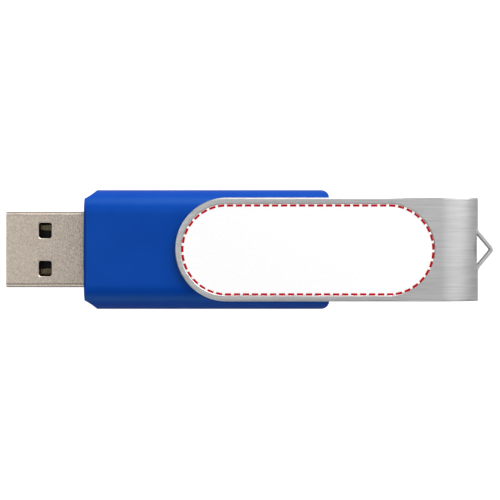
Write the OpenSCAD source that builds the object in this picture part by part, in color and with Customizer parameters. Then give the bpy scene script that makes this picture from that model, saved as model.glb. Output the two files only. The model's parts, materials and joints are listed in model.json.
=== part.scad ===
// Swivel USB flash drive, in millimetres.
// The drive lies flat and open: its plug points along -X, the closed end of the metal clip
// along +X, and the label faces +Z. The origin is on the resting face, under the centre of the
// open drive. The drive turns inside the clip about a vertical axis at pivot_x.

/* [Drive body] */
// Length of the plastic body, without the plug
body_l = 38.9; // [38.9:0.1:50]
// Width of the plastic body
body_w = 19; // [18.5:0.5:24]
// Thickness of the plastic body between its two flat faces
body_t = 8.4; // [8.2:0.1:11]
// Wall thickness of both shells
wall = 1.2; // [1:0.05:1.4]
// Thickness of the front wall, which holds the plug
front_wall = 2.2; // [2.1:0.1:3]
// Rounding of the long sides, in the cross-section
side_r = 3.9; // [2.6:0.1:4]
// Rounding of the front and back edges of both faces
end_r = 0.6; // [0.4:0.1:1.5]
// Rounding of the two back corners, seen from above
back_corner_r = 1.3; // [0.5:0.1:2]
// Length of the scooped front corners along the body
scoop_l = 2; // [1:0.1:2.5]
// Width of the scooped front corners across the body
scoop_w = 1.5; // [0.8:0.1:2]
// Radius of the hollow curve of the scooped corners
scoop_r = 6.5; // [3:0.5:20]
// How far the middle of the front face stands out beyond its ends
front_bow = 0.2; // [0.05:0.05:0.6]
// Depth and width of the groove along the parting line of the shells
seam = 0.12; // [0.06:0.02:0.3]

/* [USB plug] */
// Outside width of the metal plug
plug_w = 12; // [11.5:0.1:14.5]
// Outside height of the metal plug
plug_h = 4.5; // [4.3:0.1:5.4]
// Thickness of the plug's sheet metal
plug_wall = 0.3; // [0.2:0.05:0.4]
// Outside corner rounding of the plug
plug_r = 0.7; // [0.5:0.05:1]
// Length of plug that stands out of the body
plug_out = 12.4; // [11.5:0.1:15]
// Length of plug held inside the body
plug_in = 6.45; // [5.5:0.05:8]
// Distance from the plug's tip to its windows
window_from_tip = 5.2; // [4.5:0.05:6.2]
// Length of each window along the plug
window_l = 2.0; // [1.6:0.05:2.6]
// Width of each window across the plug
window_w = 2.45; // [2:0.05:3]
// Distance from the plug's centre line to the near edge of each window
window_in = 1.8; // [1.5:0.05:2.2]
// Thickness of the plastic tongue inside the plug
tongue_t = 1.85; // [1.6:0.05:2]
// Depth of the open mouth of the plug, from the tip to the tongue's block
mouth_depth = 9.2; // [8.6:0.1:10]
// Width of each contact strip
contact_w = 1; // [0.8:0.05:1.2]
// Thickness of each contact strip
contact_t = 0.3; // [0.2:0.05:0.35]

/* [Swivel clip] */
// Width of the bent metal clip
clip_w = 16.4; // [14:0.2:21]
// Gap between the plug's tip and the inside of the clip's bend, when shut
tip_gap = 4.5; // [2:0.1:10]
// Thickness of the clip's sheet metal
sheet_t = 0.5; // [0.5:0.05:1]
// Length of the round closed end, from where the arms start to curve
bend_l = 6.35; // [4.5:0.05:8]
// Depth of the label recess pressed into the front arm
recess_depth = 0.25; // [0.1:0.05:0.3]
// Width of the metal rim round the label recess
rim_w = 0.8; // [0.6:0.05:2]
// Flat metal left between the label recess and the clip's bend
recess_end_gap = 0.8; // [0.5:0.05:8]
// Diameter of the moulded pivot bosses
boss_d = 7.6; // [5:0.1:10]
// How far the lanyard loop stands out of the bend
loop_out = 2.3; // [1.8:0.1:4]
// Width of the lanyard loop's strip
loop_w = 2.8; // [2:0.1:3.4]

/* [Label] */
// Thickness of the printed vinyl label
label_t = 0.15; // [0.1:0.01:0.2]

/* [Circuit board] */
// Thickness of the circuit board
board_t = 1; // [0.8:0.1:1.2]
// Gap between the back end of the circuit board and the shell wall
board_end_gap = 1.7; // [0.5:0.1:1.7]
// Gap between the circuit board's long edges and the shell walls
board_side_gap = 1.5; // [1.2:0.1:1.6]

/* [Fits] */
// Gap between the body's faces and the clip's arms
arm_gap = 0.15; // [0.1:0.05:0.3]
// Radial running clearance of the pivot bosses in the clip's holes
pivot_fit = 0.06; // [0.02:0.01:0.1]
// Clearance round the plug in the body, and round the tongue in the plug
plug_fit = 0.05; // [0.02:0.01:0.1]
// Clearance of the shells' lip, and of their pins in the sockets
shell_fit = 0.08; // [0.05:0.01:0.12]
// Gap between the label and the wall of its recess
label_fit = 0.2; // [0.05:0.05:0.3]
// Clearance round the circuit board, where ribs, posts and solder tabs meet it
board_fit = 0.1; // [0.05:0.01:0.2]

/* [Hidden] */

$fn = 64;
overshoot = 1;      // how far cutting shapes run past the surface they cut
kerf = 0.06;        // width of a sheared or butted cut in sheet metal

// Places along X. The open drive is centred on the origin from the plug's tip to the loop's nose.
pivot_to_back = 16.2;
pivot_to_front = body_l - pivot_to_back;
clip_reach = pivot_to_front + plug_out + tip_gap + sheet_t;
pivot_x = (pivot_to_front + plug_out - clip_reach - loop_out) / 2;
front_x = pivot_x - pivot_to_front;
back_x = pivot_x + pivot_to_back;
tip_x = front_x - plug_out;
plug_end_x = front_x + plug_in;

// Places along Z. The rear arm of the clip lies on the ground.
body_z = sheet_t + arm_gap;
mid_z = body_z + body_t / 2;
clip_t = body_t + 2 * (arm_gap + sheet_t);
recess_z = clip_t - recess_depth;

// Cavity of the two shells
cavity_x = front_x + front_wall;
cavity_l = body_l - front_wall - wall;
cavity_w = body_w - 2 * wall;
cavity_t = body_t - 2 * wall;

// Clip
bend_r = clip_t / 2;
bend_x = pivot_x + clip_reach - bend_l;
arm_r = clip_w / 2;
recess_r = arm_r - rim_w;
recess_span = bend_x - pivot_x - recess_end_gap - recess_r;
front_boss_h = arm_gap + sheet_t - recess_depth - 0.05;
rear_boss_h = arm_gap + sheet_t - 0.05;
gate_d = 2;
gate_z = 0.2;       // height of the bottom of the gate mark above the resting face

// Lanyard loop: a strip sheared out of the bend and pressed into a V
loop_lean = 40;     // angle between a leg and the end of the clip, in degrees
loop_root_r = 1.0;  // centre-line radius where a leg leaves the bend
loop_nose_r = 0.5;  // centre-line radius at the nose
loop_leg = (loop_out - (loop_root_r + loop_nose_r) * (1 - cos(loop_lean))) / sin(loop_lean);
loop_root_y = (loop_root_r + loop_nose_r) * sin(loop_lean) + loop_leg * cos(loop_lean);
loop_end_x = bend_x + bend_l;

// Plug
tongue_z = mid_z - plug_h / 2 + plug_wall + plug_fit;
tongue_top_z = tongue_z + tongue_t;
contact_proud = 0.1;
contact_z = tongue_top_z + contact_proud - contact_t;
contact_pitch = [-3.5, -1, 1, 3.5];
power_start = 1.8;  // distance from the plug's tip to the two long contacts
data_start = 2.8;   // distance from the plug's tip to the two short contacts
tab_l = 2.2;        // length of the solder tabs behind the plug
window_r = 0.35;    // corner rounding of the windows

// Circuit board. The contacts' tails lie on its top face.
board_top_z = contact_z;
board_z = board_top_z - board_t;
board_x = plug_end_x + 0.15;
board_l = back_x - wall - board_end_gap - board_x;
board_w = cavity_w - 2 * board_side_gap;
neck_w = plug_w - 2 * plug_wall - 2 * board_fit;
neck_l = 3;
tail_l = 2;         // length of each contact's tail on the board
lead_lift = 0.1;    // height of the chips' plastic bodies above the board

// Posts and pins that line up the shells, and ribs that hold the board
post_d = 2.2;
post_sink = 0.3;    // how far the posts stand into the side walls
pin_d = 0.9;
pin_l = 1.4;
post_y = cavity_w / 2 - post_d / 2 + post_sink;
post_xs = [board_x + 4.6, board_x + board_l - 2.6];
rib_t = 1.2;
rib_xs = [board_x + 9.5, board_x + 22.5];
lip_t = 0.5;
lip_h = 0.8;

// Chips and small parts, as [x, y] of their centres on the board
flash_at = [board_x + 17.6, 0];
flash_size = [18.4, 12, 1];
controller_at = [board_x + 13.4, 0];
controller_size = [7, 7, 1.1];
crystal_at = [board_x + 4.7, 0];
crystal_size = [3.2, 5, 1.1];
regulator_at = [board_x + 4.8, 4.3];
regulator_size = [2.9, 1.3, 1];
capacitor_size = [0.8, 1.6, 0.8];
resistor_size = [0.8, 1.6, 0.45];
top_capacitors = [[board_x + 3.9, -4.6], [board_x + 5.7, -4.6]];
bottom_capacitors = [for (x = [6.6, 20.2], y = [3.2, -3.2]) [board_x + x, y]];
top_resistors = [[board_x + board_l - 0.9, 3.4]];
bottom_resistors = [for (y = [3.2, 0, -3.2]) [board_x + 4.8, y]];

plastic_blue = "#0e44a0";
steel_nickel = "#b9afa3";
aluminium_grey = "#b9bbbb";
tin_grey = "#c8c9c8";
chip_black = "#1d1e20";

// ---- Shared outlines ----

// Rectangle with round corners, centred
module round_rect(w, h, r) {
  square([w - 2 * r, h], center = true);
  square([w, h - 2 * r], center = true);
  for (x = [-1, 1], y = [-1, 1]) {
    translate([x * (w / 2 - r), y * (h / 2 - r)]) circle(r);
  }
}

// Slot outline from a circle at the origin to a circle at x = span
module slot_outline(r, span) {
  circle(r);
  translate([span, 0]) circle(r);
  translate([0, -r]) square([span, 2 * r]);
}

// Turns an outline drawn in Y and Z into a bar along X, from x = 0 to x = l
module bar_along_x(l) {
  rotate([90, 0, 90]) linear_extrude(l) children();
}

// Turns an outline drawn in X and Z into a bar along Y, centred on y = 0
module bar_along_y(w) {
  rotate([90, 0, 0]) linear_extrude(w, center = true) children();
}

// A box given by its centre in X and Y, its lowest Z and its size
module block(at, z, size) {
  translate([at[0] - size[0] / 2, at[1] - size[1] / 2, z]) cube(size);
}

// ---- Swivel clip ----

// One side of the loop's strip, offset from its centre line: + is the outside of the V
function loop_side(offset) = concat(
  [for (a = [180:10:180 + loop_lean]) [
    loop_root_r - sheet_t / 2 + (loop_root_r - offset) * cos(a),
    loop_root_y + (loop_root_r - offset) * sin(a)
  ]],
  [for (a = [loop_lean:-10:-loop_lean]) [
    loop_out - sheet_t / 2 - loop_nose_r + (loop_nose_r + offset) * cos(a),
    (loop_nose_r + offset) * sin(a)
  ]],
  [for (a = [180 - loop_lean:10:180]) [
    loop_root_r - sheet_t / 2 + (loop_root_r - offset) * cos(a),
    -loop_root_y + (loop_root_r - offset) * sin(a)
  ]]
);

module loop_strip() {
  grip = 0.2; // how far the strip's ends run into the bend
  outside = loop_side(sheet_t / 2);
  inside = loop_side(-sheet_t / 2);
  foot_low = [[0, -loop_root_y - grip], [-sheet_t, -loop_root_y - grip]];
  foot_high = [[-sheet_t, loop_root_y + grip], [0, loop_root_y + grip]];
  backwards = [for (i = [len(inside) - 1:-1:0]) inside[i]];
  translate([loop_end_x, 0, mid_z - loop_w / 2])
    linear_extrude(loop_w) polygon(concat(outside, foot_low, backwards, foot_high));
}

module arm(z) {
  translate([pivot_x, 0, z]) linear_extrude(sheet_t) difference() {
    union() {
      circle(arm_r);
      translate([0, -arm_r]) square([bend_x - pivot_x, clip_w]);
    }
    circle(boss_d / 2 + pivot_fit);
  }
}

module bend() {
  slot_w = loop_w + 2 * kerf;
  difference() {
    translate([bend_x, 0, mid_z]) bar_along_y(clip_w) difference() {
      resize([2 * bend_l, 2 * bend_r]) circle(bend_r);
      resize([2 * (bend_l - sheet_t), 2 * (bend_r - sheet_t)]) circle(bend_r);
      translate([-2 * bend_l, -2 * bend_r]) square([2 * bend_l, 4 * bend_r]);
    }
    translate([bend_x, -loop_root_y, mid_z - slot_w / 2]) cube([2 * bend_l, 2 * loop_root_y, slot_w]);
  }
}

module swivel_clip() {
  color(aluminium_grey) {
    arm(0);
    bend();
    loop_strip();
    difference() {
      arm(clip_t - sheet_t);
      translate([pivot_x, 0, recess_z])
        linear_extrude(recess_depth + overshoot) slot_outline(recess_r, recess_span);
    }
  }
}

// ---- Label ----

module label() {
  color("white") translate([pivot_x, 0, recess_z])
    linear_extrude(label_t) slot_outline(recess_r - label_fit, recess_span);
}

// ---- Plastic body ----

// Centre of the circle whose hollow arc cuts a front corner, measured from that corner into the body
function scoop_centre() =
  let (
    chord = norm([scoop_l, scoop_w]),
    back = sqrt(scoop_r * scoop_r - chord * chord / 4)
  )
  [scoop_l / 2 - back * scoop_w / chord, scoop_w / 2 - back * scoop_l / chord];

// Plan of the body, made smaller all round by inset
module body_outline(inset = 0) {
  half_w = body_w / 2 - inset;
  back_r = max(back_corner_r - inset, 0.1);
  bow_r = (half_w * half_w + front_bow * front_bow) / (2 * front_bow);
  intersection() {
    difference() {
      union() {
        translate([inset, -half_w]) square([body_l - back_r - 2 * inset, 2 * half_w]);
        translate([inset, back_r - half_w]) square([body_l - 2 * inset, 2 * (half_w - back_r)]);
        for (side = [-1, 1]) {
          translate([body_l - inset - back_r, side * (half_w - back_r)]) circle(back_r);
        }
      }
      for (side = [-1, 1]) {
        translate([scoop_centre()[0], side * (body_w / 2 - scoop_centre()[1])]) circle(scoop_r + inset);
      }
    }
    translate([inset + bow_r, 0]) circle(bow_r, $fn = 720);
  }
}

// Groove round the body along the parting line
module seam_groove() {
  translate([front_x, 0, mid_z - seam / 2]) linear_extrude(seam) difference() {
    translate([-overshoot, -body_w]) square([body_l + 2 * overshoot, 2 * body_w]);
    body_outline(seam);
  }
}

module body_block() {
  difference() {
    intersection() {
      translate([front_x, 0, mid_z]) bar_along_x(body_l) round_rect(body_w, body_t, side_r);
      translate([front_x, 0, body_z]) linear_extrude(body_t) body_outline();
      translate([front_x + body_l / 2, 0, mid_z]) bar_along_y(body_w) round_rect(body_l, body_t, end_r);
    }
    seam_groove();
  }
}

module cavity() {
  translate([cavity_x, 0, mid_z]) bar_along_x(cavity_l) round_rect(cavity_w, cavity_t, side_r - wall);
}

// Hole for the plug through the front wall and the saddle ribs, in both shells
module plug_hole() {
  translate([front_x - overshoot, 0, mid_z]) bar_along_x(plug_in + overshoot) plug_section(-plug_fit);
}

// Frame at the parting line: the cavity's outline grown by outer, less the same outline grown by inner
module lip_frame(inner, outer, z_low, z_high) {
  difference() {
    translate([cavity_x - outer, -cavity_w / 2 - outer, z_low])
      cube([cavity_l + 2 * outer, cavity_w + 2 * outer, z_high - z_low]);
    translate([cavity_x - inner, -cavity_w / 2 - inner, z_low - overshoot])
      cube([cavity_l + 2 * inner, cavity_w + 2 * inner, z_high - z_low + 2 * overshoot]);
  }
}

module at_posts() {
  for (x = post_xs, side = [-1, 1]) translate([x, side * post_y, 0]) children();
}

// Ribs across one shell, from z_low to z_high: a saddle for the plug and side ribs for the board
module board_ribs(z_low, z_high) {
  side_w = board_side_gap + min(0.6, (board_w - flash_size[1]) / 2 - 0.15);
  for (x = rib_xs, side = [-1, 1]) {
    block([x, side * (cavity_w - side_w) / 2], z_low, [rib_t, side_w, z_high - z_low]);
  }
}

module saddle_rib(z_low, z_high) {
  translate([cavity_x + 1.6, -cavity_w / 2, z_low]) cube([rib_t, cavity_w, z_high - z_low]);
}

module boss(z, h) {
  translate([pivot_x, 0, z]) cylinder(d = boss_d, h = h);
}

module front_shell() {
  ceiling = mid_z + cavity_t / 2;
  color(plastic_blue) difference() {
    union() {
      difference() {
        intersection() {
          body_block();
          translate([front_x, -body_w / 2, mid_z]) cube([body_l, body_w, body_t]);
        }
        cavity();
      }
      intersection() {
        cavity();
        union() {
          board_ribs(board_top_z + board_fit, ceiling);
          saddle_rib(mid_z, ceiling);
          at_posts() translate([0, 0, mid_z]) cylinder(d = post_d, h = cavity_t / 2);
        }
      }
      at_posts() translate([0, 0, mid_z - pin_l]) cylinder(d = pin_d, h = pin_l + cavity_t / 4);
      boss(body_z + body_t - wall / 2, wall / 2 + front_boss_h);
    }
    plug_hole();
    lip_frame(-shell_fit, lip_t + shell_fit, mid_z - overshoot, mid_z + lip_h + shell_fit);
  }
}

module rear_shell() {
  floor_z = mid_z - cavity_t / 2;
  color(plastic_blue) difference() {
    union() {
      difference() {
        intersection() {
          body_block();
          translate([front_x, -body_w / 2, mid_z - body_t]) cube([body_l, body_w, body_t]);
        }
        cavity();
      }
      intersection() {
        cavity();
        union() {
          board_ribs(floor_z, board_z);
          saddle_rib(floor_z, mid_z);
          at_posts() translate([0, 0, floor_z]) cylinder(d = post_d, h = cavity_t / 2);
        }
      }
      lip_frame(0, lip_t, mid_z, mid_z + lip_h);
      boss(body_z - rear_boss_h, wall / 2 + rear_boss_h);
    }
    plug_hole();
    at_posts() translate([0, 0, mid_z - pin_l - 2 * shell_fit])
      cylinder(d = pin_d + 2 * shell_fit, h = pin_l + overshoot);
    // Moulding gate mark, a shallow dimple in the middle of the pivot boss
    translate([pivot_x, 0, -overshoot]) cylinder(d = gate_d, h = overshoot + gate_z);
  }
}

// ---- USB plug ----

module plug_section(shrink) {
  round_rect(plug_w - 2 * shrink, plug_h - 2 * shrink, plug_r - shrink);
}

// Outline of the dovetail in the plug's seam, grown all round
module dovetail(grow, low) {
  x0 = 7;
  x1 = 9.4;
  flare = 0.35;
  reach = 0.9;
  polygon([
    [x0 - grow, low], [x1 + grow, low],
    [x1 + flare + grow, reach + grow], [x0 - flare - grow, reach + grow]
  ]);
}

// The folded seam under the plug: a butt joint that steps round one dovetail
module plug_seam() {
  translate([tip_x, 0, mid_z - plug_h / 2 - overshoot])
    linear_extrude(plug_wall + plug_fit / 2 + overshoot) difference() {
      union() {
        translate([-overshoot, -kerf / 2]) square([plug_out + plug_in + 2 * overshoot, kerf]);
        dovetail(kerf / 2, -kerf / 2);
      }
      dovetail(-kerf / 2, -kerf);
    }
}

module plug_windows() {
  window_x = tip_x + window_from_tip + window_l / 2;
  window_y = window_in + window_w / 2;
  for (side = [-1, 1]) {
    translate([window_x, side * window_y, mid_z - plug_h])
      linear_extrude(2 * plug_h) round_rect(window_l, window_w, window_r);
  }
}

module plug_tabs() {
  for (side = [-1, 1]) {
    translate([plug_end_x, side * (plug_w - plug_wall) / 2 - plug_wall / 2, board_z - 0.3])
      cube([tab_l, plug_wall, board_t + 1.2]);
  }
}

module plug_shell() {
  color(steel_nickel) {
    difference() {
      translate([tip_x, 0, mid_z]) bar_along_x(plug_out + plug_in) plug_section(0);
      translate([tip_x - overshoot, 0, mid_z])
        bar_along_x(plug_out + plug_in + 2 * overshoot) plug_section(plug_wall);
      plug_windows();
      plug_seam();
    }
    plug_tabs();
  }
}

// A contact strip: its tip dips into the tongue, its tail lies on the circuit board
module contact_strip(y, start, grow = 0) {
  dip = 0.25;
  x0 = tip_x + start;
  x1 = board_x + tail_l;
  translate([0, y, 0]) bar_along_y(contact_w + 2 * grow) polygon([
    [x0 - grow, contact_z - dip - grow], [x0 + 0.8, contact_z - grow], [x1 + grow, contact_z - grow],
    [x1 + grow, contact_z + contact_t + grow], [x0 + 0.8, contact_z + contact_t + grow],
    [x0 - grow, contact_z + contact_t - dip + grow]
  ]);
}

module contact(number) {
  long = number == 0 || number == 3;
  color("gold") contact_strip(contact_pitch[number], long ? power_start : data_start);
}

module plug_tongue() {
  recessed = 0.5;   // how far the tongue's nose lies behind the plug's tip
  color(chip_black) difference() {
    intersection() {
      translate([tip_x + recessed, 0, mid_z])
        bar_along_x(plug_out + plug_in - recessed) plug_section(plug_wall + plug_fit);
      union() {
        translate([tip_x, -plug_w / 2, mid_z - plug_h / 2])
          cube([plug_out + plug_in, plug_w, tongue_top_z - mid_z + plug_h / 2]);
        translate([tip_x + mouth_depth, -plug_w / 2, mid_z - plug_h / 2])
          cube([plug_out + plug_in - mouth_depth, plug_w, plug_h]);
      }
    }
    for (i = [0:3]) {
      contact_strip(contact_pitch[i], i == 0 || i == 3 ? power_start : data_start, 0.01);
    }
  }
}

// ---- Circuit board ----

module circuit_board() {
  color("darkgreen") difference() {
    union() {
      translate([board_x, -neck_w / 2, board_z]) cube([neck_l, neck_w, board_t]);
      translate([board_x + neck_l, -board_w / 2, board_z]) cube([board_l - neck_l, board_w, board_t]);
    }
    at_posts() translate([0, 0, board_z - overshoot])
      cylinder(d = post_d + 2 * board_fit, h = board_t + 2 * overshoot);
  }
}

// A fillet of solder: a wedge that runs down from one side of what it holds to the board
module solder_wedge(w, h, l) {
  bar_along_y(w) polygon([[0, 0], [l, 0], [l * 0.4, h * 0.35], [0, h]]);
}

module contact_solder() {
  color(tin_grey) for (y = contact_pitch) {
    translate([board_x + tail_l, y, board_top_z]) solder_wedge(contact_w, contact_t, 0.5);
  }
}

module plug_tab_solder() {
  w = min(tab_l, neck_l) - 0.3;
  color(tin_grey) for (side = [-1, 1]) {
    translate([board_x + w / 2, side * (plug_w / 2 - plug_wall), board_top_z])
      rotate([0, 0, -side * 90]) solder_wedge(w, 0.6, 0.7);
  }
}

// A row of gull-wing leads that leave a chip edge at x = 0 along +X and stand on a board face at z = 0
module lead_row(count, pitch, w, reach, body_h) {
  t = 0.13;
  knee = body_h / 2 + lead_lift;
  foot = reach * 0.55;
  for (i = [0:count - 1]) {
    translate([0, (i - (count - 1) / 2) * pitch, 0]) bar_along_y(w) polygon([
      [0, knee - t / 2], [reach - foot - t, knee - t / 2], [reach - foot, 0], [reach, 0],
      [reach, t], [reach - foot + t * 0.7, t], [reach - foot - t * 0.3, knee + t / 2], [0, knee + t / 2]
    ]);
  }
}

// Moves what is drawn on a board face at z = 0 onto the top or the underside of the board
module on_top(at) {
  translate([at[0], at[1], board_top_z]) children();
}
module underneath(at) {
  translate([at[0], at[1], board_z]) mirror([0, 0, 1]) children();
}

// Moulded chip body with a round index dimple at one corner
module chip_body(size) {
  inset = 1.1;
  depth = 0.1;
  color(chip_black) difference() {
    block([0, 0], lead_lift, size);
    translate([inset - size[0] / 2, size[1] / 2 - inset, lead_lift + size[2] - depth])
      cylinder(d = 0.9, h = depth + overshoot);
  }
}

module flash_chip() {
  on_top(flash_at) chip_body(flash_size);
}

module flash_chip_leads() {
  color(tin_grey) on_top(flash_at) for (side = [0, 180]) rotate([0, 0, side])
    translate([flash_size[0] / 2, 0, 0]) lead_row(24, 0.5, 0.22, 0.8, flash_size[2]);
}

module controller_chip() {
  underneath(controller_at) chip_body(controller_size);
}

module controller_leads() {
  color(tin_grey) underneath(controller_at) for (side = [0, 90, 180, 270]) rotate([0, 0, side])
    translate([controller_size[0] / 2, 0, 0]) lead_row(12, 0.5, 0.22, 1, controller_size[2]);
}

module crystal_base() {
  color("#d9d2c0") on_top(crystal_at) block([0, 0], 0, [crystal_size[0], crystal_size[1], 0.5]);
}

module crystal_lid() {
  rim = 0.3;
  color(tin_grey) on_top(crystal_at) translate([0, 0, 0.5]) linear_extrude(crystal_size[2] - 0.5)
    round_rect(crystal_size[0] - 2 * rim, crystal_size[1] - 2 * rim, 0.5);
}

module regulator() {
  on_top(regulator_at) color(chip_black) block([0, 0], lead_lift, regulator_size);
}

module regulator_leads() {
  edge = regulator_size[1] / 2;
  h = regulator_size[2];
  color(tin_grey) on_top(regulator_at) {
    translate([0, edge, 0]) rotate([0, 0, 90]) lead_row(1, 1, 0.4, 0.6, h);
    translate([0, -edge, 0]) rotate([0, 0, -90]) lead_row(2, 1.9, 0.4, 0.6, h);
  }
}

// Ceramic chip parts: a body with a metal cap of end_l at both ends, along Y
end_l = 0.35;
module chip_part(size) {
  block([0, 0], 0, [size[0], size[1] - 2 * end_l, size[2]]);
}
module chip_part_ends(size) {
  for (side = [-1, 1]) block([0, side * (size[1] - end_l) / 2], 0, [size[0], end_l, size[2]]);
}

module capacitors() {
  color("#a58a63") {
    for (at = top_capacitors) on_top(at) chip_part(capacitor_size);
    for (at = bottom_capacitors) underneath(at) chip_part(capacitor_size);
  }
}

module capacitor_ends() {
  color(tin_grey) {
    for (at = top_capacitors) on_top(at) chip_part_ends(capacitor_size);
    for (at = bottom_capacitors) underneath(at) chip_part_ends(capacitor_size);
  }
}

module resistors() {
  color(chip_black) {
    for (at = top_resistors) on_top(at) chip_part(resistor_size);
    for (at = bottom_resistors) underneath(at) chip_part(resistor_size);
  }
}

module resistor_ends() {
  color(tin_grey) {
    for (at = top_resistors) on_top(at) chip_part_ends(resistor_size);
    for (at = bottom_resistors) underneath(at) chip_part_ends(resistor_size);
  }
}

// ---- One node at a time ----

swivel_clip();
label();
front_shell();
rear_shell();
plug_shell();
plug_tongue();
contact(0);  // contact_power
contact(1);  // contact_data_minus
contact(2);  // contact_data_plus
contact(3);  // contact_ground
circuit_board();
plug_tab_solder();
contact_solder();
flash_chip();
flash_chip_leads();
controller_chip();
controller_leads();
crystal_base();
crystal_lid();
regulator();
regulator_leads();
capacitors();
capacitor_ends();
resistors();
resistor_ends();
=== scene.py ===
import json
import math

import bpy
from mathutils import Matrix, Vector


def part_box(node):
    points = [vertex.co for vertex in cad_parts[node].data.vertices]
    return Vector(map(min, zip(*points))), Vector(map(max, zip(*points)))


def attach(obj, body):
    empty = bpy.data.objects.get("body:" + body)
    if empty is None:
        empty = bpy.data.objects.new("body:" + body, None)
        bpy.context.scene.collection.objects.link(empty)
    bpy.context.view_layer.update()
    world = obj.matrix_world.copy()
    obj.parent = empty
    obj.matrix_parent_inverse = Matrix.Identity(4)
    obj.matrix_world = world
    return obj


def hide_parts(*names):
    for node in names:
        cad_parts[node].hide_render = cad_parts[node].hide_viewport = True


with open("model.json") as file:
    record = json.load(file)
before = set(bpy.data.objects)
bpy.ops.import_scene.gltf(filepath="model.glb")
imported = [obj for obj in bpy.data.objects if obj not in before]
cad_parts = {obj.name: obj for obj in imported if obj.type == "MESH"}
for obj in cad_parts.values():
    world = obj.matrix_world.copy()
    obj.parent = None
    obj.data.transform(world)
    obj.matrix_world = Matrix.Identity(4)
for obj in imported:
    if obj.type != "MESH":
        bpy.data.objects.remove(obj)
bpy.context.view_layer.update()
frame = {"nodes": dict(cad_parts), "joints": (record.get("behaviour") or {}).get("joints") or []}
mm = 0.001
plugLow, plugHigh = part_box("plug_shell")
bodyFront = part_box("front_shell")[0].x
print("frame loaded")


def linear(hexColour, alpha=1.0):
    # an sRGB hex value as the linear colour that a node takes
    values = [int(hexColour[i:i + 2], 16) / 255 for i in (1, 3, 5)]
    return [v / 12.92 if v <= 0.04045 else ((v + 0.055) / 1.055) ** 2.4 for v in values] + [alpha]


def newMaterial(name):
    material = bpy.data.materials.new(name)
    material.use_nodes = True
    material.node_tree.nodes.clear()
    return material, material.node_tree


def addNode(tree, kind, settings=None, inputs=None, links=None):
    # settings are the node's own options, inputs are socket values, and links are
    # {input: (node, output)}
    node = tree.nodes.new(kind)
    for key, value in (settings or {}).items():
        setattr(node, key, value)
    for key, value in (inputs or {}).items():
        node.inputs[key].default_value = value
    for key, (source, output) in (links or {}).items():
        tree.links.new(source.outputs[output], node.inputs[key])
    return node


def rampColours(node, stops):
    # stops are (place, colour)
    ramp = node.color_ramp
    while len(ramp.elements) > len(stops):
        ramp.elements.remove(ramp.elements[-1])
    for i, (place, colour) in enumerate(stops):
        element = ramp.elements[i] if i < len(ramp.elements) else ramp.elements.new(place)
        element.position = place
        element.color = colour


def deselectAll():
    if bpy.context.object and bpy.context.object.mode != "OBJECT":
        bpy.ops.object.mode_set(mode="OBJECT")
    bpy.ops.object.select_all(action="DESELECT")


def makeActive(piece):
    deselectAll()
    piece.select_set(True)
    bpy.context.view_layer.objects.active = piece


def applyModifier(piece, kind, **settings):
    makeActive(piece)
    modifier = piece.modifiers.new(kind.title(), kind)
    for key, value in settings.items():
        setattr(modifier, key, value)
    bpy.ops.object.modifier_apply(modifier=modifier.name)


def cutWith(piece, cutter):
    applyModifier(piece, "BOOLEAN", operation="DIFFERENCE", object=cutter, solver="EXACT")
    bpy.data.objects.remove(cutter, do_unlink=True)


def finishPiece(piece, name, material, body, angle=32):
    # closed, shaded, named and given its material, then put on its body
    closeUp(piece)
    bpy.ops.object.shade_smooth_by_angle(angle=math.radians(angle))
    piece.name = name
    piece.data.materials.clear()
    piece.data.materials.append(material)
    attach(piece, body)


def paintNode(name, material):
    node = frame["nodes"][name]
    for slot in node.material_slots:
        slot.material = material


def mouldedAbsBlue():
    # ABS from a satin-textured mould: deep blue with a faint grain, and soft broad highlights of a
    # lighter, greener blue
    material, tree = newMaterial("moulded ABS, satin blue")
    place = addNode(tree, "ShaderNodeTexCoord")
    grain = addNode(tree, "ShaderNodeTexNoise",
                    inputs={"Scale": 1 / (0.12 * mm), "Detail": 2.0, "Roughness": 0.6},
                    links={"Vector": (place, "Object")})
    cloud = addNode(tree, "ShaderNodeTexNoise", inputs={"Scale": 1 / (9 * mm), "Detail": 3.0},
                    links={"Vector": (place, "Object")})
    tint = addNode(tree, "ShaderNodeValToRGB", links={"Fac": (cloud, "Fac")})
    rampColours(tint, [(0.3, linear("#003999")), (0.7, linear("#023e9f"))])
    sheen = addNode(tree, "ShaderNodeMapRange", inputs={"To Min": 0.3, "To Max": 0.38},
                    links={"Value": (cloud, "Fac")})
    bump = addNode(tree, "ShaderNodeBump", inputs={"Strength": 0.08, "Distance": 0.02 * mm},
                   links={"Height": (grain, "Fac")})
    shader = addNode(tree, "ShaderNodeBsdfPrincipled",
                     inputs={"IOR": 1.53, "Specular IOR Level": 0.28,
                             "Specular Tint": linear("#aafff3")},
                     links={"Base Color": (tint, "Color"), "Roughness": (sheen, "Result"),
                            "Normal": (bump, "Normal")})
    addNode(tree, "ShaderNodeOutputMaterial", links={"Surface": (shader, "BSDF")})
    return material


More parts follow.
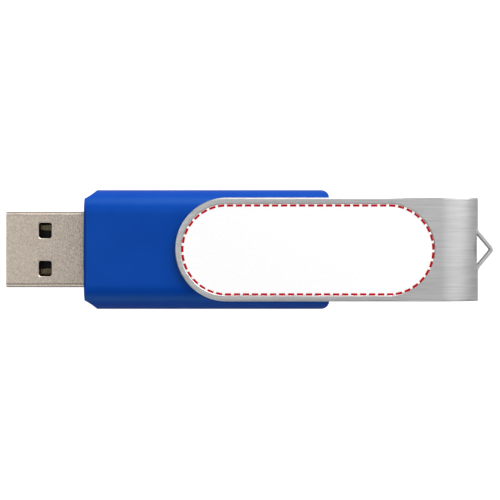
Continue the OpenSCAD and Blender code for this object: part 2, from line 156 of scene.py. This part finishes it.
def brushedAluminium():
    # aluminium sheet brushed along its length: fine streaks along X, soft stretched reflections
    material, tree = newMaterial("brushed aluminium")
    place = addNode(tree, "ShaderNodeTexCoord")
    stretch = addNode(tree, "ShaderNodeMapping", inputs={"Scale": (0.03, 1.0, 0.03)},
                      links={"Vector": (place, "Object")})
    streaks = addNode(tree, "ShaderNodeTexNoise",
                      inputs={"Scale": 1 / (0.2 * mm), "Detail": 4.0, "Roughness": 0.65},
                      links={"Vector": (stretch, "Vector")})
    tint = addNode(tree, "ShaderNodeValToRGB", links={"Fac": (streaks, "Fac")})
    rampColours(tint, [(0.3, linear("#c9c9c9")), (0.7, linear("#dedede"))])
    gloss = addNode(tree, "ShaderNodeMapRange", inputs={"To Min": 0.38, "To Max": 0.5},
                    links={"Value": (streaks, "Fac")})
    bump = addNode(tree, "ShaderNodeBump", inputs={"Strength": 0.12, "Distance": 0.01 * mm},
                   links={"Height": (streaks, "Fac")})
    shader = addNode(tree, "ShaderNodeBsdfPrincipled", inputs={"Metallic": 1.0},
                     links={"Base Color": (tint, "Color"), "Roughness": (gloss, "Result"),
                            "Normal": (bump, "Normal")})
    addNode(tree, "ShaderNodeOutputMaterial", links={"Surface": (shader, "BSDF")})
    return material


def nickelPlate():
    # nickel on stamped steel: warm grey, with the fine pebbled grain of rolled strip, drawn out
    # across the plug, and painted darker with a stronger grain towards the body: painted shade of
    # the body's shadow
    material, tree = newMaterial("nickel plated rolled steel")
    place = addNode(tree, "ShaderNodeTexCoord")
    stretch = addNode(tree, "ShaderNodeMapping", inputs={"Scale": (1.0, 0.5, 1.0)},
                      links={"Vector": (place, "Object")})
    pebble = addNode(tree, "ShaderNodeTexNoise",
                     inputs={"Scale": 1 / (0.15 * mm), "Detail": 2.0, "Roughness": 0.6},
                     links={"Vector": (stretch, "Vector")})
    cloud = addNode(tree, "ShaderNodeTexNoise", inputs={"Scale": 1 / (3.0 * mm), "Detail": 2.0},
                    links={"Vector": (place, "Object")})
    tint = addNode(tree, "ShaderNodeValToRGB", links={"Fac": (pebble, "Fac")})
    rampColours(tint, [(0.3, linear("#c0b3a5")), (0.7, linear("#e8dbcd"))])
    along = addNode(tree, "ShaderNodeSeparateXYZ", links={"Vector": (place, "Object")})
    # painted shade: from here to the body the plug's colour is mixed darker, standing in for the
    # body's shadow
    brightTo = plugLow.x + 4 * mm
    bodyShadeAmount = addNode(tree, "ShaderNodeMapRange",
                   inputs={"From Min": brightTo, "From Max": bodyFront, "To Max": 0.45},
                   links={"Value": (along, "X")})
    shadedPebble = addNode(tree, "ShaderNodeValToRGB", links={"Fac": (pebble, "Fac")})
    rampColours(shadedPebble, [(0.35, linear("#8f857b")), (0.65, linear("#e2d7ca"))])
    # sockets 6 and 7 of this node are its two colours, and output 2 is the mixed one
    pebbleAndPaintedShade = addNode(tree, "ShaderNodeMix", settings={"data_type": "RGBA"},
                     links={"Factor": (bodyShadeAmount, "Result"), 6: (tint, "Color"), 7: (shadedPebble, "Color")})
    gloss = addNode(tree, "ShaderNodeMapRange", inputs={"To Min": 0.3, "To Max": 0.42},
                    links={"Value": (cloud, "Fac")})
    bump = addNode(tree, "ShaderNodeBump", inputs={"Strength": 1.0, "Distance": 0.016 * mm},
                   links={"Height": (pebble, "Fac")})
    shader = addNode(tree, "ShaderNodeBsdfPrincipled", inputs={"Metallic": 1.0},
                     links={"Base Color": (pebbleAndPaintedShade, 2), "Roughness": (gloss, "Result"),
                            "Normal": (bump, "Normal")})
    addNode(tree, "ShaderNodeOutputMaterial", links={"Surface": (shader, "BSDF")})
    return material


def grainedSolid(name, dark, light, grain, roughness, metallic=0.0, bumpHeight=0.01, specular=0.5):
    # a plain finish with a fine two-tone grain, whose size is in mm
    material, tree = newMaterial(name)
    place = addNode(tree, "ShaderNodeTexCoord")
    noise = addNode(tree, "ShaderNodeTexNoise", inputs={"Scale": 1 / (grain * mm), "Detail": 3.0},
                    links={"Vector": (place, "Object")})
    tint = addNode(tree, "ShaderNodeValToRGB", links={"Fac": (noise, "Fac")})
    rampColours(tint, [(0.35, linear(dark)), (0.65, linear(light))])
    bump = addNode(tree, "ShaderNodeBump", inputs={"Strength": 0.3, "Distance": bumpHeight * mm},
                   links={"Height": (noise, "Fac")})
    shader = addNode(tree, "ShaderNodeBsdfPrincipled",
                     inputs={"Metallic": metallic, "Roughness": roughness,
                             "Specular IOR Level": specular},
                     links={"Base Color": (tint, "Color"), "Normal": (bump, "Normal")})
    addNode(tree, "ShaderNodeOutputMaterial", links={"Surface": (shader, "BSDF")})
    return material


absBlue = mouldedAbsBlue()
aluminium = brushedAluminium()
nickel = nickelPlate()
# printed film: flat, even white with a soft shine
printFilm = grainedSolid("white gloss print film", "#fafafa", "#fdfdfd", 0.4, 0.35,
                         bumpHeight=0.002)
# screen-printed ink: flat red with hardly any shine
redInk = grainedSolid("red screen ink", "#ad0a18", "#ba101f", 0.3, 0.6,
                      bumpHeight=0.002, specular=0.1)
# nylon from a fine-textured mould: near black with a broad, dim highlight
blackNylon = grainedSolid("moulded black nylon", "#060607", "#0b0b0d", 0.2, 0.5, specular=0.25)
# thin gold over polished bronze: pale, and nearly a mirror
goldPlate = grainedSolid("gold plated bronze", "#b3a486", "#c9bb9b", 0.3, 0.1,
                         metallic=1.0, bumpHeight=0.003)
# lacquer over woven glass: deep green with a clear shine
solderMask = grainedSolid("green solder mask on glass laminate", "#0f4a29", "#175c35", 0.5, 0.3)
# filled resin from a matt mould: sooty grey with no clear highlight
chipResin = grainedSolid("matt moulding resin", "#1a1b1d", "#242528", 0.08, 0.6)
# dull tin and solder that has flowed: soft grey metal, and a brighter, smoother one
tinPlate = grainedSolid("tin plated leads", "#c3c5c6", "#d6d7d8", 0.1, 0.32, metallic=1.0)
solderTin = grainedSolid("reflowed solder", "#cbcccb", "#dedfdf", 0.4, 0.22, metallic=1.0)
# fired ceramics: cream and tan, matt and chalky
crystalCeramic = grainedSolid("cream ceramic", "#cfc7b2", "#dcd5c3", 0.1, 0.6)
capacitorCeramic = grainedSolid("tan barium ceramic", "#9a7f5a", "#ab8f69", 0.1, 0.5)

nodeFinish = {
    "swivel_clip": aluminium, "label": printFilm, "front_shell": absBlue, "rear_shell": absBlue,
    "plug_shell": nickel, "plug_tongue": blackNylon,
    "contact_power": goldPlate, "contact_data_minus": goldPlate,
    "contact_data_plus": goldPlate, "contact_ground": goldPlate,
    "circuit_board": solderMask, "plug_tab_solder": solderTin, "contact_solder": solderTin,
    "flash_chip": chipResin, "flash_chip_leads": tinPlate,
    "controller_chip": chipResin, "controller_leads": tinPlate,
    "crystal_base": crystalCeramic, "crystal_lid": tinPlate,
    "regulator": chipResin, "regulator_leads": tinPlate,
    "capacitors": capacitorCeramic, "capacitor_ends": tinPlate,
    "resistors": chipResin, "resistor_ends": tinPlate,
}
for nodeName, finish in nodeFinish.items():
    paintNode(nodeName, finish)
print("materials made")


def selectVerts(piece, test):
    # edit mode: only the vertices that pass the test stay selected
    bpy.ops.mesh.select_mode(type="VERT")
    bpy.ops.mesh.select_all(action="DESELECT")
    bpy.ops.object.mode_set(mode="OBJECT")
    for vertex in piece.data.vertices:
        vertex.select = test(piece.matrix_world @ vertex.co)
    bpy.ops.object.mode_set(mode="EDIT")


def selectEdges(piece, test):
    # edit mode: only the edges whose two ends pass the test stay selected
    bpy.ops.mesh.select_mode(type="EDGE")
    bpy.ops.mesh.select_all(action="DESELECT")
    bpy.ops.object.mode_set(mode="OBJECT")
    points = [piece.matrix_world @ v.co for v in piece.data.vertices]
    for edge in piece.data.edges:
        edge.select = test(points[edge.vertices[0]], points[edge.vertices[1]])
    bpy.ops.object.mode_set(mode="EDIT")


def near(a, b):
    # the same to a thousandth of a millimetre
    return abs(a - b) < 0.001 * mm


def addBlock(low, high):
    # a cube with those two corners
    deselectAll()
    bpy.ops.mesh.primitive_cube_add(size=1, location=[(a + b) / 2 for a, b in zip(low, high)])
    block = bpy.context.object
    block.scale = [b - a for a, b in zip(low, high)]
    bpy.ops.object.transform_apply(location=False, rotation=False, scale=True)
    return block


def closeUp(piece):
    # seams merged and every face turned outwards, so that the next boolean reads it as a solid
    makeActive(piece)
    bpy.ops.object.transform_apply(location=True, rotation=True, scale=True)
    bpy.ops.object.mode_set(mode="EDIT")
    bpy.ops.mesh.select_all(action="SELECT")
    bpy.ops.mesh.remove_doubles(threshold=0.002 * mm)
    bpy.ops.mesh.normals_make_consistent(inside=False)
    bpy.ops.object.mode_set(mode="OBJECT")
    return piece


overshoot = 1 * mm   # how far a cutter passes the face that it opens
roundSides = 160     # of a whole circle, for the clip's round ends, its recess and the label


def halfStadium(x, radius, length, low, high):
    # a slab with one half-round end at x, running to x + length: left in edit mode, open and
    # selected at its far end
    deselectAll()
    bpy.ops.mesh.primitive_cylinder_add(vertices=roundSides, radius=radius, depth=high - low,
                                        location=(x, 0, (low + high) / 2))
    slab = bpy.context.object
    bpy.ops.object.mode_set(mode="EDIT")
    bpy.ops.mesh.select_all(action="SELECT")
    bpy.ops.mesh.bisect(plane_co=(x, 0, 0), plane_no=(1, 0, 0), clear_outer=True)
    bpy.ops.mesh.select_mode(type="EDGE")
    bpy.ops.mesh.select_all(action="DESELECT")
    bpy.ops.mesh.select_non_manifold()
    bpy.ops.mesh.extrude_region_move(TRANSFORM_OT_translate={"value": (length, 0, 0)})
    return slab


def fullStadium(x, radius, span, low, high):
    # both half-round ends: half of it is mirrored about its middle
    slab = halfStadium(x, radius, span / 2, low, high)
    bpy.ops.object.mode_set(mode="OBJECT")
    bpy.context.scene.cursor.location = (x + span / 2, 0, (low + high) / 2)
    bpy.ops.object.origin_set(type="ORIGIN_CURSOR")
    applyModifier(slab, "MIRROR", use_axis=(True, False, False), merge_threshold=0.001 * mm)
    return closeUp(slab)


def roundEdges(piece, width, segments=3, angle=35):
    applyModifier(piece, "BEVEL", width=width, segments=segments, limit_method="ANGLE",
                  angle_limit=math.radians(angle), miter_outer="MITER_ARC", use_clamp_overlap=True)


def crownEdges(piece, test, width, segments, profile):
    # a chosen run of edges rounded on its own: a profile of 0.5 is a quarter circle, and more
    # keeps nearer to the corner
    makeActive(piece)
    bpy.ops.object.mode_set(mode="EDIT")
    selectEdges(piece, test)
    bpy.ops.mesh.bevel(offset=width, segments=segments, profile=profile, affect="EDGES",
                       clamp_overlap=True)
    bpy.ops.object.mode_set(mode="OBJECT")


def evenShading(piece):
    # broad faces keep a flat shading next to their rounded edges
    applyModifier(piece, "WEIGHTED_NORMAL", keep_sharp=True, weight=50)


clipLow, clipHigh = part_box("swivel_clip")
labelLow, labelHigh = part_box("label")
pivotX = frame["joints"][0]["pos_m"][0]
labelSpan = labelHigh.x - labelHigh.y - pivotX   # between the centres of its two round ends

clip = {
    "sheet": 0.5 * mm,
    "bendLength": 6.35 * mm,   # where the arms start to curve, from the closed end
    "bendSteps": 48,
    "recessDepth": 0.25 * mm,
    "labelGap": 0.05 * mm,     # between the label and the foot of the recess wall
    "recessWall": 0.23 * mm,   # width of the pressed slope round the recess
    "crown": 0.36 * mm,        # how far in from the edge the rim is crowned
    "crownProfile": 0.62,      # 0.5 would be a quarter circle
    "crownFades": (20 * mm, 26 * mm),   # where along X the crown runs out before the bend
    "holeRadius": 3.86 * mm,
    "holeSides": 96,
    "edge": 0.1 * mm,          # rounding of the deburred edges
    "loopOut": 2.3 * mm,
    "loopWidth": 2.8 * mm,
    "loopLean": 40,            # degrees between a leg and the end of the clip
    "loopRootRadius": 1.0 * mm,
    "loopNoseRadius": 0.5 * mm,
    "slotGap": 0.06 * mm,      # beside the loop, in the slot that it was lanced out of
}


def onBend(point, bendX, midZ, radius):
    # past the arms, and on the half-round of that radius
    away = math.hypot(point.x - bendX, point.z - midZ)
    return point.x > bendX + 0.01 * mm and abs(away - radius) < 0.02 * mm


def bentSheet():
    # both half-round arm ends, then one section drawn along an arm, round the bend and back
    armRadius = clipHigh.y
    bendRadius = (clipHigh.z - clipLow.z) / 2
    bendX = clipHigh.x - clip["loopOut"] - clip["bendLength"]
    midZ = (clipLow.z + clipHigh.z) / 2
    run = bendX - pivotX
    rear = halfStadium(pivotX, armRadius, run, clipLow.z, clipLow.z + clip["sheet"])
    bpy.ops.object.mode_set(mode="OBJECT")
    front = halfStadium(pivotX, armRadius, run, clipHigh.z - clip["sheet"], clipHigh.z)
    bpy.ops.mesh.spin(steps=clip["bendSteps"], angle=-math.pi, center=(bendX, 0, midZ),
                      axis=(0, 1, 0))
    bpy.ops.object.mode_set(mode="OBJECT")
    rear.select_set(True)
    bpy.ops.object.join()
    closeUp(front)
    # the round bend is drawn out to its length, outside and inside in turn, so that the sheet
    # keeps its thickness
    bpy.ops.object.mode_set(mode="EDIT")
    for inset in (0, clip["sheet"]):
        selectVerts(front, lambda point: onBend(point, bendX, midZ, bendRadius - inset))
        stretch = (clip["bendLength"] - inset) / (bendRadius - inset)
        bpy.ops.transform.resize(value=(stretch, 1, 1), center_override=(bendX, 0, midZ))
    bpy.ops.object.mode_set(mode="OBJECT")
    return front, bendX, midZ


def lanyardLoop(midZ):
    # the strip's section is spun into a leg, drawn out, spun round the nose, drawn back and spun
    # into the wall again
    lean = math.radians(clip["loopLean"])
    rootR, noseR, sheet = clip["loopRootRadius"], clip["loopNoseRadius"], clip["sheet"]
    leg = (clip["loopOut"] - (rootR + noseR) * (1 - math.cos(lean))) / math.sin(lean)
    rootY = (rootR + noseR) * math.sin(lean) + leg * math.cos(lean)
    wallX = clipHigh.x - clip["loopOut"]
    rootX = wallX + rootR - sheet / 2
    noseX = clipHigh.x - sheet / 2 - noseR
    deselectAll()
    bpy.ops.mesh.primitive_plane_add(size=1, location=(wallX - sheet / 2, rootY, midZ),
                                     rotation=(math.pi / 2, 0, 0))
    strip = bpy.context.object
    strip.scale = (sheet, clip["loopWidth"], 1)
    bpy.ops.object.transform_apply(location=True, rotation=True, scale=True)
    bpy.ops.object.mode_set(mode="EDIT")
    bpy.ops.mesh.select_all(action="SELECT")
    bpy.ops.mesh.spin(steps=8, angle=-lean, center=(rootX, rootY, midZ), axis=(0, 0, 1))
    bpy.ops.mesh.extrude_region_move(
        TRANSFORM_OT_translate={"value": (leg * math.sin(lean), -leg * math.cos(lean), 0)})
    bpy.ops.mesh.spin(steps=12, angle=2 * lean, center=(noseX, 0, midZ), axis=(0, 0, 1))
    bpy.ops.mesh.extrude_region_move(
        TRANSFORM_OT_translate={"value": (-leg * math.sin(lean), -leg * math.cos(lean), 0)})
    bpy.ops.mesh.spin(steps=8, angle=-lean, center=(rootX, -rootY, midZ), axis=(0, 0, 1))
    return closeUp(strip), rootY, wallX


def onRim(a, b, top):
    # an outer edge of the front arm, straight or round
    def outer(point):
        away = math.hypot(point.x - pivotX, point.y)
        return near(abs(point.y), clipHigh.y) or near(away, clipHigh.y)
    return near(a.z, top) and near(b.z, top) and outer(a) and outer(b)


def crownLeft(x):
    # how much of the crown is left at x
    start, end = clip["crownFades"]
    return 1 - (1 - clip["edge"] / clip["crown"]) * min(max((x - start) / (end - start), 0), 1)


def addFadeCuts(sheet, stations):
    # cuts across the sheet where the crown will be narrowed, and two along it that keep its
    # shading flat
    makeActive(sheet)
    bpy.ops.object.mode_set(mode="EDIT")
    for x in stations:
        bpy.ops.mesh.select_all(action="SELECT")
        bpy.ops.mesh.bisect(plane_co=(x, 0, 0), plane_no=(1, 0, 0))
    for side in (-1, 1):
        selectVerts(sheet, lambda point: point.x > stations[0] - 0.01 * mm)
        y = side * (clipHigh.y - clip["crown"] - 0.05 * mm)
        bpy.ops.mesh.bisect(plane_co=(0, y, 0), plane_no=(0, 1, 0))
    bpy.ops.object.mode_set(mode="OBJECT")


def fadeCrown(sheet, stations, top):
    # each section of the crown past the first cut shrinks towards the sheet's corner
    makeActive(sheet)
    bpy.ops.object.mode_set(mode="EDIT")
    reach = clip["crown"] + 0.01 * mm
    for x in stations:
        for side in (-1, 1):
            selectVerts(sheet, lambda point: near(point.x, x) and point.z > top - reach
                        and side * point.y > clipHigh.y - reach)
            left = crownLeft(x)
            bpy.ops.transform.resize(value=(1, left, left),
                                     center_override=(x, side * clipHigh.y, top))
    bpy.ops.object.mode_set(mode="OBJECT")


def makeClip():
    # the bent sheet is bored for the bosses, pressed for the label and lanced for the loop
    sheet, bendX, midZ = bentSheet()
    start, end = clip["crownFades"]
    stations = [start + (end - start) * i / 4 for i in range(5)] + [bendX]
    addFadeCuts(sheet, stations[:-1])
    deselectAll()
    bpy.ops.mesh.primitive_cylinder_add(vertices=clip["holeSides"], radius=clip["holeRadius"],
                                        depth=clipHigh.z + 2 * overshoot,
                                        location=(pivotX, 0, midZ))
    cutWith(sheet, bpy.context.object)
    recessRadius = labelHigh.y + clip["labelGap"]
    floorZ = clipHigh.z - clip["recessDepth"]
    cutWith(sheet, fullStadium(pivotX, recessRadius, labelSpan, floorZ, clipHigh.z + overshoot))
    strip, rootY, wallX = lanyardLoop(midZ)
    slotHalf = clip["loopWidth"] / 2 + clip["slotGap"]
    cutWith(sheet, addBlock((bendX, -rootY, midZ - slotHalf),
                            (wallX + overshoot, rootY, midZ + slotHalf)))
    top = clipHigh.z
    inside = recessRadius + 0.1 * mm   # nearer than this to the recess's middle line is its wall

    def atTop(a, b):
        return near(a.z, top) and near(b.z, top)

    def isWall(point):
        x = min(max(point.x, pivotX), pivotX + labelSpan)
        return math.hypot(point.x - x, point.y) < inside

    crownEdges(sheet, lambda a, b: atTop(a, b) and isWall(a) and isWall(b),
               clip["recessWall"], segments=4, profile=0.5)
    crownEdges(sheet, lambda a, b: onRim(a, b, top) and not isWall(a),
               clip["crown"], segments=8, profile=clip["crownProfile"])
    fadeCrown(sheet, stations, top)
    roundEdges(sheet, clip["edge"])
    roundEdges(strip, 0.5 * clip["edge"], segments=2)
    makeActive(sheet)
    strip.select_set(True)
    bpy.ops.object.join()
    finishPiece(sheet, "bent_clip", aluminium, "clip")
    evenShading(sheet)
    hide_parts("swivel_clip")


makeClip()
print("clip made")


label = {
    "edge": 0.05 * mm,
    "dashInset": 0.19 * mm,    # from the label's edge to the middle of the printed line
    "dashLength": 1.0 * mm,
    "dashWidth": 0.36 * mm,
    "dashCorner": 0.06 * mm,
    "printDrop": 0.07 * mm,    # the print sits a little low on the label
    "dashCount": 67,
    "dashStart": 0.36,         # place of the first dash, in steps from one dash to the next
    "ink": 0.012 * mm,         # thickness of the screen-printed ink
}


def outlinePoint(along, radius):
    # the place and the heading of a point on the line printed round the label, a distance along it
    turn = math.pi * radius
    if along < labelSpan:
        return pivotX + along, radius, 0.0
    if along < labelSpan + turn:
        swept = (along - labelSpan) / radius
        return pivotX + labelSpan + radius * math.sin(swept), radius * math.cos(swept), -swept
    if along < 2 * labelSpan + turn:
        return pivotX + labelSpan - (along - labelSpan - turn), -radius, math.pi
    swept = (along - 2 * labelSpan - turn) / radius
    return pivotX - radius * math.sin(swept), -radius * math.cos(swept), math.pi - swept


def makeLabel():
    # a thin film that lies in the recess
    film = fullStadium(pivotX, labelHigh.y, labelSpan, labelLow.z, labelHigh.z)
    roundEdges(film, label["edge"], segments=2)
    finishPiece(film, "label_film", printFilm, "clip")
    evenShading(film)
    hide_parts("label")


def makeDashes():
    # one dash with rounded corners, copied round the outline
    radius = labelHigh.y - label["dashInset"]
    length = 2 * labelSpan + 2 * math.pi * radius
    half, width = label["dashLength"] / 2, label["dashWidth"] / 2
    first = addBlock((-half, -width, labelHigh.z - label["ink"] / 2),
                     (half, width, labelHigh.z + label["ink"]))
    bpy.ops.object.mode_set(mode="EDIT")
    selectEdges(first, lambda a, b: near(a.x, b.x) and near(a.y, b.y))
    bpy.ops.mesh.bevel(offset=label["dashCorner"], segments=2, affect="EDGES")
    bpy.ops.object.mode_set(mode="OBJECT")
    bpy.ops.object.transform_apply(location=True, rotation=True, scale=True)
    dashes = []
    for i in range(label["dashCount"]):
        along = length * (i + label["dashStart"]) / label["dashCount"]
        x, y, heading = outlinePoint(along, radius)
        dash = first.copy()
        dash.data = first.data.copy()
        bpy.context.scene.collection.objects.link(dash)
        dash.location = (x, y - label["printDrop"], 0)
        dash.rotation_euler = (0, 0, heading)
        dashes.append(dash)
    bpy.data.objects.remove(first, do_unlink=True)
    deselectAll()
    for dash in dashes:
        dash.select_set(True)
    bpy.context.view_layer.objects.active = dashes[0]
    bpy.ops.object.join()
    finishPiece(dashes[0], "label_outline_print", redInk, "clip")


makeLabel()
makeDashes()
print("label made")


plug = {
    "wall": 0.3 * mm,
    "corner": 0.7 * mm,
    "length": 18.85 * mm,
    "windowFromTip": 5.2 * mm,
    "windowLength": 2.0 * mm,
    "windowWidth": 2.45 * mm,
    "windowIn": 1.8 * mm,       # from the centre line to a window's near edge
    "windowCorner": 0.35 * mm,
    "windowRoll": (0.18 * mm, 0.12 * mm),   # width and depth of the slope the punch leaves
    "edge": 0.05 * mm,
    "seam": 0.06 * mm,
    "dovetail": (7.0 * mm, 9.4 * mm, 0.9 * mm),   # start and end from the tip, and reach
}


def windowCutter(x, y):
    # a round-cornered prism through both faces, flared where it passes each one
    over = 0.05 * mm
    rollWidth, rollDepth = plug["windowRoll"]
    halfLength, halfWidth = plug["windowLength"] / 2, plug["windowWidth"] / 2
    middle = (x + halfLength, y, (plugLow.z + plugHigh.z) / 2)
    cutter = addBlock((x, y - halfWidth, plugLow.z - over),
                      (x + plug["windowLength"], y + halfWidth, plugHigh.z + over))
    bpy.ops.object.mode_set(mode="EDIT")
    selectEdges(cutter, lambda a, b: near(a.x, b.x) and near(a.y, b.y))
    bpy.ops.mesh.bevel(offset=plug["windowCorner"], segments=6, affect="EDGES")
    for level in (plugLow.z + rollDepth, plugHigh.z - rollDepth):
        bpy.ops.mesh.select_all(action="SELECT")
        bpy.ops.mesh.bisect(plane_co=(0, 0, level), plane_no=(0, 0, 1))
    flare = rollWidth * (rollDepth + over) / rollDepth
    selectVerts(cutter,
                lambda point: near(point.z, plugLow.z - over) or near(point.z, plugHigh.z + over))
    bpy.ops.transform.resize(value=(1 + flare / halfLength, 1 + flare / halfWidth, 1),
                             center_override=middle)
    bpy.ops.object.mode_set(mode="OBJECT")
    return closeUp(cutter)


def makePlug():
    # a round-cornered tube, open at both ends, with two windows above and two below
    tipX = plugLow.x
    shell = closeUp(addBlock(plugLow, (tipX + plug["length"], plugHigh.y, plugHigh.z)))
    bpy.ops.object.mode_set(mode="EDIT")
    selectEdges(shell, lambda a, b: near(a.y, b.y) and near(a.z, b.z))
    bpy.ops.mesh.bevel(offset=plug["corner"], segments=7, affect="EDGES")
    bpy.ops.mesh.select_mode(type="FACE")
    bpy.ops.mesh.select_all(action="DESELECT")
    bpy.ops.object.mode_set(mode="OBJECT")
    for face in shell.data.polygons:
        face.select = abs(face.normal.x) > 0.9
    bpy.ops.object.mode_set(mode="EDIT")
    bpy.ops.mesh.delete(type="ONLY_FACE")
    bpy.ops.object.mode_set(mode="OBJECT")
    applyModifier(shell, "SOLIDIFY", thickness=plug["wall"], offset=-1, use_even_offset=True)
    middle = plug["windowIn"] + plug["windowWidth"] / 2
    for side in (-1, 1):
        cutWith(shell, windowCutter(tipX + plug["windowFromTip"], side * middle))
    roundEdges(shell, plug["edge"], segments=2)
    return shell


def makeSeam(shell):
    # the butt joint of the rolled sleeve on its rear face, stepping round one dovetail
    tipX = plugLow.x
    start, end, reach = plug["dovetail"]
    half = plug["seam"] / 2
    low, high = plugLow.z - overshoot, plugLow.z + 0.5 * plug["wall"]
    strips = [
        ((tipX - overshoot, -half), (tipX + start + half, half)),
        ((tipX + end - half, -half), (tipX + plug["length"] + overshoot, half)),
        ((tipX + start - half, -half), (tipX + start + half, reach + half)),
        ((tipX + end - half, -half), (tipX + end + half, reach + half)),
        ((tipX + start - half, reach - half), (tipX + end + half, reach + half)),
    ]
    for (x0, y0), (x1, y1) in strips:
        cutWith(shell, addBlock((x0, y0, low), (x1, y1, high)))


plugShell = makePlug()
makeSeam(plugShell)
finishPiece(plugShell, "plug_sleeve", nickel, "drive")
evenShading(plugShell)
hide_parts("plug_shell")
print("plug made")


contact = {
    "crown": 0.19 * mm,      # how far in from its edges a strip's top is rounded
    "thickness": 0.3 * mm,
}
contactPin = {"contact_power": "pin_power", "contact_data_minus": "pin_data_minus",
              "contact_data_plus": "pin_data_plus", "contact_ground": "pin_ground"}


def makeContact(nodeName, pieceName):
    # a flat strip with its top rounded off along both sides and at both ends
    low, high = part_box(nodeName)
    strip = closeUp(addBlock((low.x, low.y, high.z - contact["thickness"]), high))
    crownEdges(strip, lambda a, b: near(a.z, high.z) and near(b.z, high.z),
               contact["crown"], segments=6, profile=0.5)
    finishPiece(strip, pieceName, goldPlate, "drive", angle=60)
    evenShading(strip)
    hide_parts(nodeName)


for nodeName, pieceName in contactPin.items():
    makeContact(nodeName, pieceName)
print("contacts made")


studio = {
    "floorSize": 4.0,         # m
    "floorDrop": 0.05 * mm,   # below the drive, so that the two never share a face
    "floorWhite": 0.98,       # glow of the light table under the paper
    "worldStrength": 0.08,
    "distance": 0.7,          # m, from the drive to each softbox
    # name, compass direction from +X in degrees, tilt from straight up, size in m, power in W
    "softboxes": [
        ("key", 60, 71, 0.5, 6.6),
        ("key edge", 30, 72, 0.35, 2.3),
        ("low fill", 240, 72, 0.35, 0.9),
        ("low right", 315, 70, 0.35, 0.4),
        ("low left", 150, 72, 0.35, 0.8),
        ("low top", 90, 66, 0.35, 0.6),
        ("low front", 270, 68, 0.35, 0.45),
        ("left fill", 180, 25, 0.35, 0.66),
        ("right fill", 0, 33, 0.5, 0.52),
        ("top fill", 60, 25, 0.35, 0.36),
    ],
}


def paperFloor():
    # matt white paper over a light table: white to look at, but it throws little light back up
    material, tree = newMaterial("matt white paper on a light table")
    place = addNode(tree, "ShaderNodeTexCoord")
    fibre = addNode(tree, "ShaderNodeTexNoise", inputs={"Scale": 1 / (2 * mm)},
                    links={"Vector": (place, "Object")})
    tint = addNode(tree, "ShaderNodeValToRGB", links={"Fac": (fibre, "Fac")})
    rampColours(tint, [(0.3, linear("#9c9c9c")), (0.7, linear("#a2a2a2"))])
    paper = addNode(tree, "ShaderNodeBsdfDiffuse", links={"Color": (tint, "Color")})
    glow = addNode(tree, "ShaderNodeEmission", inputs={"Strength": studio["floorWhite"]})
    both = addNode(tree, "ShaderNodeAddShader", links={0: (paper, "BSDF"), 1: (glow, "Emission")})
    seen = addNode(tree, "ShaderNodeLightPath")
    pick = addNode(tree, "ShaderNodeMixShader",
                   links={"Fac": (seen, "Is Camera Ray"), 1: (paper, "BSDF"), 2: (both, "Shader")})
    addNode(tree, "ShaderNodeOutputMaterial", links={"Surface": (pick, "Shader")})
    return material


def softbox(name, compass, tilt, size, power):
    # a square lamp that faces the drive
    light = bpy.data.lights.new(name, "AREA")
    light.energy = power
    light.size = size
    lamp = bpy.data.objects.new(name, light)
    bpy.context.scene.collection.objects.link(lamp)
    turn, lean, far = math.radians(compass), math.radians(tilt), studio["distance"]
    reach = far * math.sin(lean)
    lamp.location = (reach * math.cos(turn), reach * math.sin(turn), far * math.cos(lean))
    lamp.rotation_euler = lamp.location.to_track_quat("Z", "Y").to_euler()


deselectAll()
bpy.ops.mesh.primitive_plane_add(size=studio["floorSize"], location=(0, 0, -studio["floorDrop"]))
floor = bpy.context.object
floor.name = "floor"
floor.data.materials.append(paperFloor())

for box in studio["softboxes"]:
    softbox(*box)
world = bpy.data.worlds.new("studio")
bpy.context.scene.world = world
world.use_nodes = True
background = world.node_tree.nodes["Background"]
background.inputs["Color"].default_value = linear("#ffffff")
background.inputs["Strength"].default_value = studio["worldStrength"]
print("studio lit")

view = {"lens": 144, "sensor": 36, "height": 320, "aimY": -0.08}   # mm
cameraData = bpy.data.cameras.new("camera")
cameraData.lens = view["lens"]
cameraData.sensor_width = view["sensor"]
camera = bpy.data.objects.new("camera", cameraData)
bpy.context.scene.collection.objects.link(camera)
camera.location = (0, view["aimY"] * mm, (clipLow.z + clipHigh.z) / 2 + view["height"] * mm)
bpy.context.scene.camera = camera
bpy.context.scene.view_settings.view_transform = "Standard"
